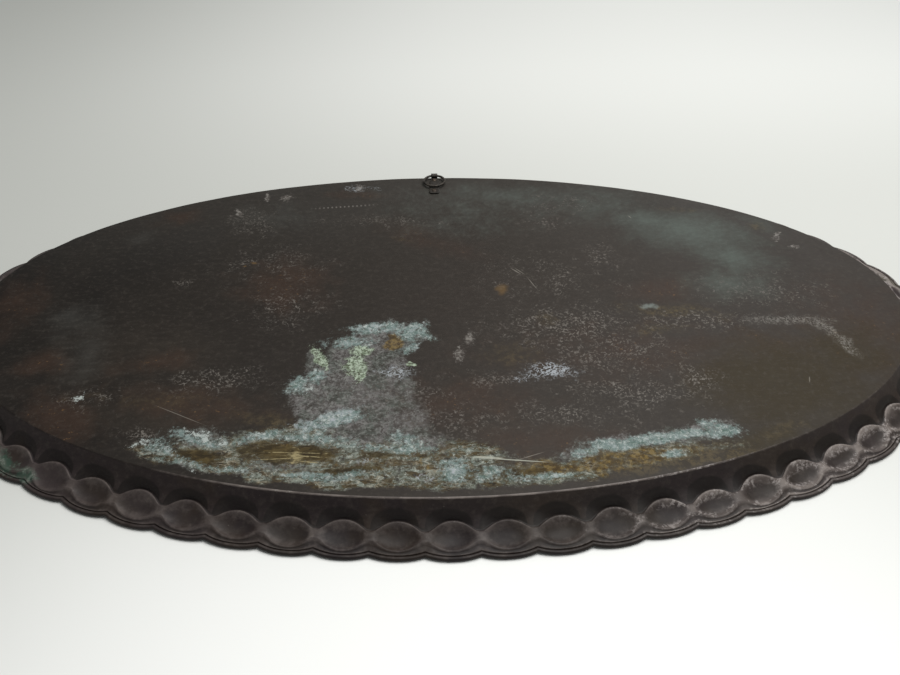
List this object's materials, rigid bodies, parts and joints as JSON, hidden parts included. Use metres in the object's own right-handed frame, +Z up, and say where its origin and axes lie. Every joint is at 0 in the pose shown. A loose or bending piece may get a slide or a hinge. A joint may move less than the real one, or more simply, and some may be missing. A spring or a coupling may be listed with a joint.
{
  "type": "oval hammered copper tray",
  "caption": "Long oval serving tray of hammered copper with an embossed lobed border, a curled scalloped edge and a hanging ring on its underside, shown upside down.",
  "frame": {"origin": "middle of the oval, on the surface that the rim rests on with the tray upside down", "axes": "+X along the oval's long axis, +Y across it towards the side with the hanging ring, +Z up, out of the underside of the base"},
  "size_m": [0.8006, 0.4574, 0.026],
  "materials": {
    "patinated_copper": "dark brown patina with verdigris patches, hammered, satin",
    "rim_wire": "dull drawn wire",
    "hanger_copper": "dark worn copper",
    "ring_brass": "tarnished, worn bright where it rubs",
    "rivet_copper": "dark worn copper"
  },
  "bodies": {
    "tray": {"tray_pan": "patinated_copper", "rim_wire": "rim_wire", "hanger_strap": "hanger_copper", "rivet_outer": "rivet_copper", "rivet_inner": "rivet_copper"},
    "ring": {"hanger_ring": "ring_brass"}
  },
  "joints": [
    {"name": "ring_swing", "type": "hinge", "parent": "tray", "child": "ring", "pos_m": [-0.003, 0.194, 0.0238], "axis": [-1, 0, 0], "range_deg": [0, 215]}
  ]
}
